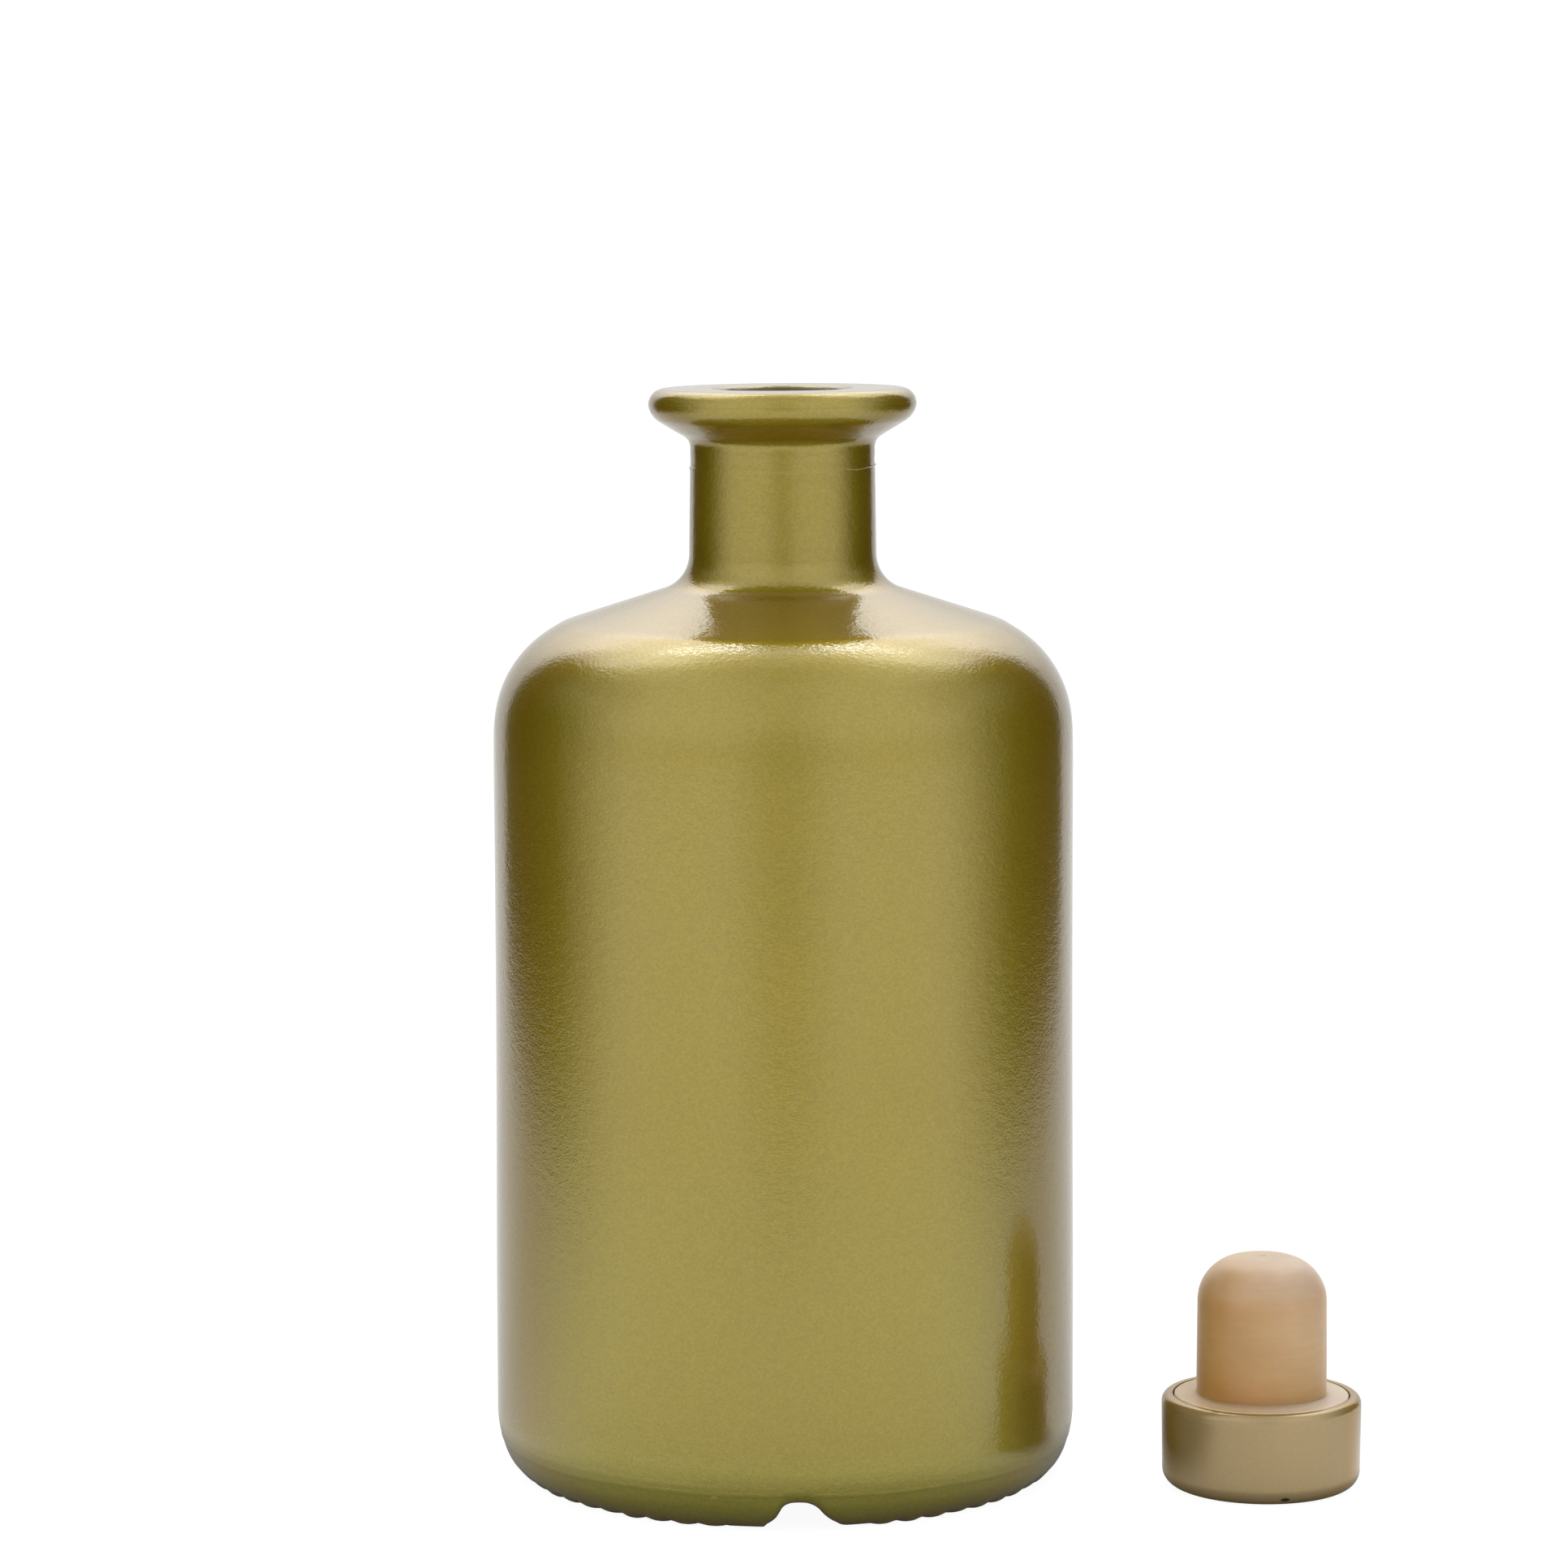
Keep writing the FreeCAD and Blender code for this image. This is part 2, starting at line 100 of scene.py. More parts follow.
def lathe(name, profile, angles, centre, shape=None):
    """Closed surface of revolution about Z through centre. profile runs from
    the axis to the axis, (r, z) in mm; angles in radians. shape(r, z, a)
    may return moved (r, z) arrays for a ring."""
    n = len(angles)
    verts, ring_start = [], []
    cx, cy = centre
    for r, z in profile:
        if r < 1e-6:
            ring_start.append((len(verts), 1))
            rz = shape(np.array([0.0]), np.array([z]), np.array([0.0])) if shape else (None, np.array([z]))
            verts.append((cx * MM, cy * MM, float(rz[1][0]) * MM))
            continue
        rr = np.full(n, float(r))
        zz = np.full(n, float(z))
        if shape:
            rr, zz = shape(rr, zz, angles)
        ring_start.append((len(verts), n))
        xs = (cx + rr * np.cos(angles)) * MM
        ys = (cy + rr * np.sin(angles)) * MM
        verts.extend(zip(xs.tolist(), ys.tolist(), (zz * MM).tolist()))
    faces = []
    for (s0, n0), (s1, n1) in zip(ring_start, ring_start[1:]):
        for i in range(n):
            j = (i + 1) % n
            if n0 == 1 and n1 == 1:
                continue
            if n0 == 1:
                faces.append((s0, s1 + j, s1 + i))
            elif n1 == 1:
                faces.append((s0 + i, s0 + j, s1))
            else:
                faces.append((s0 + i, s0 + j, s1 + j, s1 + i))
    me = bpy.data.meshes.new(name)
    me.from_pydata(verts, [], faces)
    me.validate()
    me.update()
    bm = bmesh.new()
    bm.from_mesh(me)
    bmesh.ops.recalc_face_normals(bm, faces=bm.faces)
    if bm.calc_volume(signed=True) < 0:
        bmesh.ops.reverse_faces(bm, faces=bm.faces)
    bm.to_mesh(me)
    bm.free()
    for p in me.polygons:
        p.use_smooth = True
    ob = bpy.data.objects.new(name, me)
    scene.collection.objects.link(ob)
    return ob


def fbm(x, y, z, seed):
    return noise.noise(Vector((x + seed, y - seed * 0.7, z + seed * 0.3)))


# -------------------------------------------------------------- materials
def nodes_of(mat):
    mat.use_nodes = True
    nt = mat.node_tree
    nt.nodes.clear()
    out = nt.nodes.new("ShaderNodeOutputMaterial")
    bsdf = nt.nodes.new("ShaderNodeBsdfPrincipled")
    nt.links.new(bsdf.outputs["BSDF"], out.inputs["Surface"])
    return nt, bsdf


def ramp(nt, fac, stops, interpolation="LINEAR"):
    node = nt.nodes.new("ShaderNodeValToRGB")
    node.color_ramp.interpolation = interpolation
    el = node.color_ramp.elements
    while len(el) > 1:
        el.remove(el[-1])
    el[0].position, el[0].color = stops[0]
    for pos, col in stops[1:]:
        e = el.new(pos)
        e.color = col
    nt.links.new(fac, node.inputs["Fac"])
    return node.outputs["Color"]


def tex_noise(nt, coord, scale, detail=2.0, rough=0.5, distortion=0.0):
    node = nt.nodes.new("ShaderNodeTexNoise")
    node.inputs["Scale"].default_value = scale
    node.inputs["Detail"].default_value = detail
    node.inputs["Roughness"].default_value = rough
    node.inputs["Distortion"].default_value = distortion
    nt.links.new(coord, node.inputs["Vector"])
    return node.outputs["Fac"]


def mathn(nt, op, a, b=None, c=None, clamp=False):
    node = nt.nodes.new("ShaderNodeMath")
    node.operation = op
    node.use_clamp = clamp
    for k, v in enumerate((a, b, c)):
        if v is None:
            continue
        if isinstance(v, (int, float)):
            node.inputs[k].default_value = v
        else:
            nt.links.new(v, node.inputs[k])
    return node.outputs[0]


def mix(nt, fac, a, b, blend="MIX"):
    node = nt.nodes.new("ShaderNodeMix")
    node.data_type = "RGBA"
    node.blend_type = blend
    if isinstance(fac, (int, float)):
        node.inputs["Factor"].default_value = fac
    else:
        nt.links.new(fac, node.inputs["Factor"])
    for key, v in (("A", a), ("B", b)):
        sock = [i for i in node.inputs if i.name == key and i.type == "RGBA"][0]
        if isinstance(v, tuple):
            sock.default_value = v
        else:
            nt.links.new(v, sock)
    return [o for o in node.outputs if o.type == "RGBA"][0]


def step(tree, src, a, b):
    node = tree.nodes.new("ShaderNodeMapRange")
    node.interpolation_type = "SMOOTHSTEP"
    for key, v in (("From Min", a), ("From Max", b)):
        if isinstance(v, (int, float)):
            node.inputs[key].default_value = v
        else:
            tree.links.new(v, node.inputs[key])
    node.inputs["To Min"].default_value = 0.0
    node.inputs["To Max"].default_value = 1.0
    tree.links.new(src, node.inputs["Value"])
    return node.outputs["Result"]


def spot(nt, coord, centre, radii):
    """1 at centre falling to 0 at the ellipsoid with those radii, metres."""
    sub = nt.nodes.new("ShaderNodeVectorMath")
    sub.operation = "SUBTRACT"
    nt.links.new(coord, sub.inputs[0])
    sub.inputs[1].default_value = centre
    div = nt.nodes.new("ShaderNodeVectorMath")
    div.operation = "DIVIDE"
    nt.links.new(sub.outputs[0], div.inputs[0])
    div.inputs[1].default_value = radii
    ln = nt.nodes.new("ShaderNodeVectorMath")
    ln.operation = "LENGTH"
    nt.links.new(div.outputs[0], ln.inputs[0])
    inv = mathn(nt, "SUBTRACT", 1.0, ln.outputs["Value"], clamp=True)
    return mathn(nt, "MULTIPLY", inv, 2.2, clamp=True)


def gold_lacquer(name, base, rough, coat, coat_rough, marks=(), mouth_shade=None, flakes=0.10, peel_size=0.00006, metal=0.66):
    """Metallic-pigment lacquer: fine aluminium flake in a yellow binder under
    a clear coat, with a little orange peel."""
    mat = bpy.data.materials.new(name)
    nt, bsdf = nodes_of(mat)
    geo = nt.nodes.new("ShaderNodeTexCoord")
    co = geo.outputs["Object"]
    # flake: cells about 0.2 mm across, each with its own tone and tilt
    vor = nt.nodes.new("ShaderNodeTexVoronoi")
    vor.feature = "F1"
    vor.inputs["Scale"].default_value = 4200.0
    nt.links.new(co, vor.inputs["Vector"])
    sep = nt.nodes.new("ShaderNodeSeparateColor")
    nt.links.new(vor.outputs["Color"], sep.inputs[0])
    cloud = tex_noise(nt, co, 55.0, 3.0, 0.55)
    dark = tuple(c * (1.0 - flakes) for c in base) + (1.0,)
    light = tuple(min(1.0, c * (1.0 + flakes)) for c in base) + (1.0,)
    flake = mix(nt, sep.outputs[0], dark, light)
    tone = ramp(nt, cloud, [(0.30, (0.965, 0.965, 0.96, 1)), (0.70, (1.0, 1.0, 1.0, 1))])
    col = mix(nt, 1.0, flake, tone, "MULTIPLY")
    for centre, radii, colour in marks:
        col = mix(nt, spot(nt, co, centre, radii), col, colour)
    if mouth_shade:
        # painted shade: the top of the bore is painted nearly black: (radius fully dark, radius where it ends, height)
        xyz = nt.nodes.new("ShaderNodeSeparateXYZ")
        nt.links.new(co, xyz.inputs[0])
        # and is a shade greener towards the foot
        foot = mix(nt, 1.0, col, (1.0, 1.045, 1.25, 1.0), "MULTIPLY")
        col = mix(nt, step(nt, xyz.outputs[2], 0.066, 0.028), col, foot)
        heel = mix(nt, 1.0, col, (1.0, 1.10, 1.30, 1.0), "MULTIPLY")
        col = mix(nt, step(nt, xyz.outputs[2], 0.013, 0.005), col, heel)
        rad = mathn(nt, "SQRT", mathn(nt, "ADD", mathn(nt, "MULTIPLY", xyz.outputs[0], xyz.outputs[0]),
                                      mathn(nt, "MULTIPLY", xyz.outputs[1], xyz.outputs[1])))
        # painted shade inside the mouth, nearly black
        inside = mathn(nt, "MULTIPLY", step(nt, rad, mouth_shade[1], mouth_shade[0]), step(nt, xyz.outputs[2], mouth_shade[2], mouth_shade[2] + 0.004))
        col = mix(nt, inside, col, (0.035, 0.030, 0.008, 1.0))
    # metallic lacquer turns a little deeper and redder where it is seen at a slant
    slant = nt.nodes.new("ShaderNodeLayerWeight")
    slant.inputs["Blend"].default_value = 0.5
    turned = mix(nt, 1.0, col, (1.0, 0.86, 0.40, 1.0), "MULTIPLY")
    col = mix(nt, step(nt, slant.outputs["Facing"], 0.36, 0.60), col, turned)
    nt.links.new(col, bsdf.inputs["Base Color"])
    bsdf.inputs["Metallic"].default_value = metal
    bsdf.inputs["Specular IOR Level"].default_value = 0.0
    r = mathn(nt, "MULTIPLY_ADD", cloud, 0.05, rough - 0.025)
    nt.links.new(r, bsdf.inputs["Roughness"])
    bsdf.inputs["Coat Weight"].default_value = coat
    bsdf.inputs["Coat Roughness"].default_value = coat_rough
    bsdf.inputs["Coat IOR"].default_value = 1.5
    # flake tilt and orange peel
    flat = nt.nodes.new("ShaderNodeVectorMath")
    flat.operation = "MULTIPLY"
    nt.links.new(co, flat.inputs[0])
    flat.inputs[1].default_value = (1.0, 1.0, 1.7)
    peel = mathn(nt, "MULTIPLY_ADD", tex_noise(nt, flat.outputs[0], 1900.0, 1.0, 0.5), 0.50,
                 mathn(nt, "MULTIPLY", tex_noise(nt, flat.outputs[0], 480.0, 1.0, 0.5), 0.50))
    b1 = nt.nodes.new("ShaderNodeBump")
    b1.inputs["Strength"].default_value = 1.0
    b1.inputs["Distance"].default_value = peel_size
    nt.links.new(peel, b1.inputs["Height"])
    b2 = nt.nodes.new("ShaderNodeBump")
    b2.inputs["Strength"].default_value = 0.10
    b2.inputs["Distance"].default_value = 0.00003
    nt.links.new(sep.outputs[1], b2.inputs["Height"])
    nt.links.new(b1.outputs["Normal"], b2.inputs["Normal"])
    nt.links.new(b2.outputs["Normal"], bsdf.inputs["Normal"])
    nt.links.new(b1.outputs["Normal"], bsdf.inputs["Coat Normal"])
    return mat


def synthetic_cork(name):
    mat = bpy.data.materials.new(name)
    nt, bsdf = nodes_of(mat)
    geo = nt.nodes.new("ShaderNodeTexCoord")
    co = geo.outputs["Object"]
    # paler and greyer at the domed end, warmer towards the flange; the
    # moulded skin has faint level streaks and soft clouds
    xyz = nt.nodes.new("ShaderNodeSeparateXYZ")
    nt.links.new(co, xyz.inputs[0])
    low = ramp(nt, step(nt, xyz.outputs[2], 0.0138, 0.0325), [
        (0.00, (0.350, 0.192, 0.054, 1)),
        (0.10, (0.345, 0.204, 0.070, 1)),
        (0.45, (0.354, 0.220, 0.090, 1)),
        (0.80, (0.350, 0.216, 0.088, 1)),
        (1.00, (0.352, 0.250, 0.150, 1)),
    ])
    pale = mix(nt, step(nt, xyz.outputs[2], 0.0137, 0.0134), low, (0.430, 0.300, 0.170, 1.0))
    # painted light: a warmer side facing the bottle, a painted reflection of its gold, and a paler, cooler far side
    painted_gold_bounce = mix(nt, 1.0, pale, (1.05, 1.00, 0.90, 1.0), "MULTIPLY")
    painted_pale_side = mix(nt, 1.0, pale, (1.00, 1.08, 1.34, 1.0), "MULTIPLY")
    pale = mix(nt, step(nt, xyz.outputs[0], 0.0610, 0.0770), painted_gold_bounce, painted_pale_side)
    cloud = tex_noise(nt, co, 130.0, 4.0, 0.6)
    flat = nt.nodes.new("ShaderNodeVectorMath")
    flat.operation = "MULTIPLY"
    nt.links.new(co, flat.inputs[0])
    flat.inputs[1].default_value = (0.35, 0.35, 2.4)
    streak = tex_noise(nt, flat.outputs[0], 520.0, 2.0, 0.5)
    col = mix(nt, 1.0, pale, ramp(nt, cloud, [(0.30, (0.93, 0.90, 0.84, 1)), (0.70, (1.05, 1.07, 1.10, 1))]), "MULTIPLY")
    col = mix(nt, 1.0, col, ramp(nt, streak, [(0.30, (0.96, 0.95, 0.93, 1)), (0.70, (1.02, 1.03, 1.04, 1))]), "MULTIPLY")
    nt.links.new(col, bsdf.inputs["Base Color"])
    bsdf.inputs["Roughness"].default_value = 0.42
    bsdf.inputs["Specular IOR Level"].default_value = 0.5
    bsdf.inputs["Sheen Weight"].default_value = 0.30
    bsdf.inputs["Sheen Roughness"].default_value = 0.40
    bsdf.inputs["Sheen Tint"].default_value = (1.0, 0.90, 0.80, 1.0)
    bsdf.inputs["Subsurface Weight"].default_value = 1.0
    bsdf.inputs["Subsurface Radius"].default_value = (0.0042, 0.0024, 0.0013)
    bsdf.inputs["Subsurface Scale"].default_value = 1.6
    fine = tex_noise(nt, co, 2600.0, 3.0, 0.6)
    b = nt.nodes.new("ShaderNodeBump")
    b.inputs["Strength"].default_value = 0.18
    b.inputs["Distance"].default_value = 0.00005
    nt.links.new(fine, b.inputs["Height"])
    nt.links.new(b.outputs["Normal"], bsdf.inputs["Normal"])
    return mat


# ----------------------------------------------------------------- bottle
# Section of the glass, mm, from the push-up's centre out, up, over the lip,
# down the bore and back to the axis on the inside floor.
def bottle_section():
    p = [(0.0, 4.0)]
    p += line(p[-1], (11.0, 4.0), 5)
    p += line(p[-1], (22.0, 3.35), 5)
    p += line(p[-1], (30.2, 2.55), 5)
    p += line(p[-1], (31.6, 2.05), 3)
    p += line(p[-1], (32.6, 1.05), 4)
    p += line(p[-1], (33.4, 0.18), 4)
    p += line(p[-1], (33.8, 0.0), 2)
    p += line(p[-1], (36.2, 0.0), 8)
    # heel: lower arc, then the upper arc that carries the faint parting line
    p += arc(36.2, 5.18, 5.18, -90, -22.5, 26)
    top = []
    z0, z1 = 3.2, 9.5
    for i in range(1, 27):
        z = z0 + (z1 - z0) * i / 26
        r = 42.25 - 16.5 + math.sqrt(16.5 ** 2 - (9.5 - z) ** 2)
        top.append((r, z))
    p += top
    # body with its very shallow waist
    for i in range(1, 121):
        z = 9.5 + (109.0 - 9.5) * i / 120
        p.append((body_r(z), z))
    # shoulder
    p += arc(25.45, 109.0, 16.5, 0, 72.3, 34)
    p = soften(p, 98.0, 124.0, 24)
    p += line(p[-1], (17.30, 128.99), 16)
    p += arc(13.52 + 5.4, 134.15, 5.4, 252.3, 180, 16)
    # neck: body mould below the parting line, neck ring above it
    for z in (134.6, 135.4, 136.6, 138.0, 139.5, 141.0, 142.5, 143.8, 144.8, 145.4):
        p.append((neck_r(z), z))
    z = 145.6
    while z < 147.7:
        p.append((neck_r(z), z))
        z += 0.1
    for z in (147.9, 148.2, 148.5, 148.8, 149.1, 149.434):
        p.append((neck_r(z), z))
    # flare, rolled lip
    p += arc(13.29 + 2.0, 149.434, 2.0, 180, 120.8, 12)
    p += line(p[-1], (17.84, 153.30), 20)
    p += arc(16.06, 156.08, 3.3, -57.4, -8.3, 16)
    p += [(19.34, 155.66)]
    p += arc(17.04, 155.70, 2.29, 0, 90, 22)
    p = soften(p, 149.6, 157.6, 6)
    p += line(p[-1], (10.65, 157.985), 14)
    p += arc(10.65, 156.6, 1.385, 90, 180, 10)
    p += line(p[-1], (9.25, 134.15), 14)
    # inside, from the bore down to the floor
    p += arc(18.92, 134.15, 9.67, 180, 252.4, 12)
    p += line(p[-1], (29.49, 121.67), 8)
    p += arc(25.45, 109.0, 13.25, 72.3, 0, 14)
    p += line(p[-1], (38.7, 15.3), 16)
    p += arc(31.6, 15.3, 7.1, 0, -90, 10)
    p += line(p[-1], (13.0, 9.0), 5)
    p += line(p[-1], (0.0, 9.0), 4)
    p[-1] = (0.0, 9.0)
    return p


def body_r(z):
    """Body radius: 42.22 above the heel, 41.96 at the waist, as one smooth
    curve."""
    knots = [(9.5, 42.225), (24.0, 42.225), (34.0, 42.195), (48.0, 42.10), (60.0, 42.02),
             (74.0, 41.97), (90.0, 41.96), (100.0, 41.98), (109.0, 41.97)]
    zs = [k[0] for k in knots]
    rs = [k[1] for k in knots]
    i = max(0, min(len(zs) - 2, int(np.searchsorted(zs, z) - 1)))
    # Catmull-Rom on the knots
    def slope(k):
        a, b = max(0, k - 1), min(len(zs) - 1, k + 1)
        return (rs[b] - rs[a]) / (zs[b] - zs[a])
    h = zs[i + 1] - zs[i]
    t = (z - zs[i]) / h
    m0, m1 = slope(i) * h, slope(i + 1) * h
    return ((2 * t**3 - 3 * t**2 + 1) * rs[i] + (t**3 - 2 * t**2 + t) * m0
            + (-2 * t**3 + 3 * t**2) * rs[i + 1] + (t**3 - t**2) * m1)


SEAM_Z = 146.5


def neck_r(z):
    """Neck radius without the parting line's step, which bottle_shape adds."""
    return 13.52 + (13.30 - 13.52) * (z - 134.15) / (149.434 - 134.15)


def bottle_shape(r, z, a):
    """Heel details, parting lines and the small unevenness of moulded glass.
    a is measured round the axis; the notch is at -90 degrees + its turn."""
    r = r.copy()
    z = z.copy()
    r0, z0 = float(r[0]), float(z[0])
    if r0 < 1e-6:
        return r, z
    th = (a - math.radians(-90.0 + NOTCH_TURN) + math.pi) % (2 * math.pi) - math.pi
    deg = np.degrees(th)
    low_part = z0 < 6.0 and r0 > 28.0 and not (z0 > 7.9 and r0 < 33)
    if low_part:
        # bearing ring: 53 knurls with scallops between them, none at the notch
        first, pitch, count = 21.0 - NOTCH_TURN, 6.218, 53
        d = deg % 360.0
        k = np.clip(np.round((d - first) / pitch), 0, count - 1)
        off = np.abs(d - (first + k * pitch)) / (0.5 * pitch)      # 0 on a knurl, 1 between
        knurl = smooth(1.18 - 1.12 * off)
        size = 0.78 + 0.30 * np.sin(k * 2.39) * np.cos(k * 0.83)
        plain = (d < first - 0.52 * pitch) | (d > first + (count - 0.48) * pitch)
        knurl = np.where(plain, 0.0, knurl * size)
        along = math.exp(-(((r0 - 38.2) / 1.25) ** 2)) if z0 < 2.2 else 0.0
        z = np.maximum(z - 0.34 * knurl * along, 0.0 * z)
        r = r + 0.16 * knurl * along
        if 34.7 < r0 < 38.4 and z0 < 0.6:
            valley = np.where(plain, 0.0, 1 - smooth(1.9 - 1.7 * off))
            fade = smooth((r0 - 34.7) / 0.9)
            z = np.maximum(z, 0.45 * valley * fade)
        # orientation notch: an arch, steeper on its left flank
        s = th * 36.4 + math.radians(NOTCH_TURN) * 36.4            # mm round from the front
        arch = curve_through(NOTCH, s) * smooth((r0 - 28.4) / 1.4)
        soft = arch + 0.30 * np.logaddexp(0.0, (z - arch) / 0.30)
        w = smooth(arch / 0.9)
        z = np.maximum(z, z * (1 - w) + soft * w)
        # its outer edge is rolled in
        r = r - 0.85 * smooth((r0 - 37.6) / 3.6) * w * np.exp(-np.clip(z - arch, 0.0, None) / 0.55)
    # heel parting line: a slight step all round, wandering a little in height
    if 3.6 < z0 < 7.6 and r0 > 40.0:
        seam = 5.5 + 0.16 * np.sin(a * 3.0 + 0.7) + 0.07 * np.sin(a * 11.0)
        r = r + 0.038 * np.exp(-(((z0 - seam) / 0.20) ** 2)) - 0.030 * smooth((seam - 0.1 - z0) / 0.35) * smooth((z0 - 3.6) / 0.9)
    # neck ring parting line: an uneven ridge over a small step
    if 144.6 < z0 < 149.0 and r0 > 12.0:
        lift = 0.42 * smooth((np.degrees(a) + 68.0) / 40.0) * smooth((30.0 - np.degrees(a)) / 40.0)
        seam = SEAM_Z + lift + 0.10 * np.sin(a * 5.0 + 1.0) + 0.06 * np.sin(a * 13.0)
        deg = (np.degrees(a) + 180.0) % 360.0 - 180.0
        proud = np.exp(-((deg + 8.0) / 14.0) ** 2) + 0.8 * np.exp(-((np.abs(deg) - 172.0) / 12.0) ** 2)
        size = 0.40 + 0.30 * np.sin(a * 7.0 + 2.0) * np.cos(a * 3.0 + 0.5) + 0.75 * proud
        r = r - 0.09 * np.exp(-((deg + 32.0) / 24.0) ** 2) * np.exp(-(((z0 - seam + 0.30) / 0.14) ** 2))
        r = r + 0.15 * size * np.exp(-(((z0 - seam) / 0.13) ** 2))
        r = r - 0.05 * np.clip((z0 - seam + 0.25) / 0.35, 0, 1) * (1 - smooth((z0 - 147.6) / 1.2))
    # parting line round the lip's edge, a little open at the right
    if 155.3 < z0 < 157.1 and r0 > 19.0:
        gap = np.exp(-(((z0 - 156.25) / 0.12) ** 2))
        side = smooth((np.sin(a + 0.35) * -1 + np.cos(a) * 0.9 + 0.6) / 1.2)
        r = r - 0.045 * gap * side
    # the lip sits a little lower at the left
    if z0 > 149.5:
        z = z - 0.16 * smooth((z0 - 149.5) / 2.5) * (0.5 - 0.5 * r / 19.4 * np.cos(a))
    # slow unevenness, well under a tenth of a millimetre
    if z0 > 7.0 and not (r0 < 38.75 and z0 < 121 and r0 > 1 and z0 > 7.9 and r0 > 9.3 and on_inside(r0, z0)):
        ca, sa = np.cos(a), np.sin(a)
        w = np.array([
            noise.noise(Vector((c * 1.3 + 3.1, s * 1.3 - 1.7, z0 * 0.022 + 5.0)))
            for c, s in zip(ca, sa)
        ])
        amp = 0.022 if z0 < 128 else 0.010
        r = r + amp * (w - 0.35)
    return np.minimum(r, 42.23), z


# Height of the notch, mm, against the distance round the ring from the front.
NOTCH = [(-3.3, 0.0), (-2.6, 0.62), (-2.1, 1.02), (-1.25, 1.92), (-0.80, 2.80), (-0.38, 3.62),
         (0.05, 4.04), (0.84, 4.33), (1.65, 4.37), (2.45, 4.32), (3.27, 4.05), (4.11, 3.44),
         (5.0, 2.32), (5.97, 1.38), (7.0, 0.68), (8.0, 0.25), (9.0, 0.0)]


def on_inside(r, z):
    if z <= 109.0:
        return r < 38.8
    if z <= 134.2:
        return r < 25.45 + 14.5 if z < 121.7 else r < 17.0
    return r < 9.3


def bottle_angles():
    """Column angles: 0.28 degrees apart round the notch, 0.61 elsewhere."""
    start = math.radians(-90.0 + NOTCH_TURN)
    near = np.linspace(-14.0, 14.0, 100, endpoint=False)
    rest = np.linspace(14.0, 346.0, 540, endpoint=False)
    return start + np.radians(np.concatenate([near, rest]))


bottle = lathe("bottle_glass", bottle_section(), bottle_angles(), (0.0, 0.0), bottle_shape)

GOLD = (0.206, 0.1565, 0.011)
bottle_mat = gold_lacquer("gold_lacquer_glass", GOLD, 0.36, 1.0, 0.045,
                          marks=[((-0.00995, -0.0403, 0.0052), (0.0006, 0.0012, 0.0003), (0.26, 0.215, 0.04, 1.0))],
                          # the mouth's top is painted nearly black as painted shade
                          mouth_shade=(0.0094, 0.0104, 0.150))
bottle.data.materials.append(bottle_mat)
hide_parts("bottle")
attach(bottle, "root")

# ------------------------------------------------------------ stopper cap
SX, SY = 68.8, -13.2


def cap_section():
    p = [(0.0, 0.0)]
    p += line(p[-1], (11.85, 0.0), 6)
    p += arc(11.85, 2.4, 2.4, -90, 0, 16)
    p += line(p[-1], (14.39, 11.75), 22)
    # the moulded rim: a soft line, then the rounded edge
    p += [(14.365, 11.95), (14.37, 12.10)]
    p += arc(13.20, 12.15, 1.17, 0, 90, 14)
    p += [(13.10, 13.335), (12.95, 13.30)]
    p += arc(12.93, 13.12, 0.18, 90, 180, 5)
    p += line(p[-1], (12.75, 11.2), 8)
    p += [(12.74, 10.86)]
    p += line(p[-1], (0.0, 10.86), 5)
    return p


def cap_shape(r, z, a):
    r = r.copy()
    z = z.copy()
    r0, z0 = float(r[0]), float(z[0])
    if r0 < 1e-6:
        return r, z
    deg = np.degrees(a)
    front = deg + 90.0                            # 0 at the front, positive to the right
    front = (front + 180) % 360 - 180
    if z0 > 12.9 and r0 < 13.3:
        # ragged inner edge of the rim, roughest at the front left
        rough = np.array([noise.noise(Vector((math.cos(t) * 26, math.sin(t) * 26, 4.2))) for t in a])
        rough2 = np.array([noise.noise(Vector((math.cos(t) * 70, math.sin(t) * 70, 9.2))) for t in a])
        where = np.exp(-(((front + 32.0) / 22.0) ** 2))
        z = z - 0.05 * where * np.clip(rough + 0.35, 0, 1) - 0.02 * np.clip(rough2, 0, 1)
        nick = np.exp(-(((front + 32.3) / 2.6) ** 2))
        z = z - 0.16 * nick
        r = r + 0.14 * nick
    if z0 < 1.6 and r0 > 12.6:
        # small chip out of the lower edge at the front
        chip = np.exp(-(((front - 9.2) / 1.8) ** 2)) * math.exp(-(((z0 - 1.0) / 0.22) ** 2))
        r = r - 0.22 * chip
    return r, z


even = np.radians(np.arange(0, 360, 0.9375)) - math.pi / 2
cap = lathe("stopper_cap_lacquered", cap_section(), even, (SX, SY), cap_shape)
ca = math.radians(-90 + 9.2)
na = math.radians(-90 - 32.3)
cap_mat = gold_lacquer(
    "gold_lacquer_cap", (0.246, 0.178, 0.080), 0.31, 0.75, 0.06, flakes=0.03, peel_size=0.00002, metal=0.48,
    marks=[
        (((SX + 13.80 * math.cos(ca)) * MM, (SY + 13.80 * math.sin(ca)) * MM, 1.0 * MM),
         (0.85 * MM, 1.2 * MM, 0.40 * MM), (0.008, 0.005, 0.003, 1.0)),
        (((SX + 12.95 * math.cos(na)) * MM, (SY + 12.95 * math.sin(na)) * MM, 13.25 * MM),
         (1.35 * MM, 0.80 * MM, 0.60 * MM), (0.010, 0.006, 0.003, 1.0)),
    ],
)
cap.data.materials.append(cap_mat)
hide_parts("stopper_cap")
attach(cap, "root")


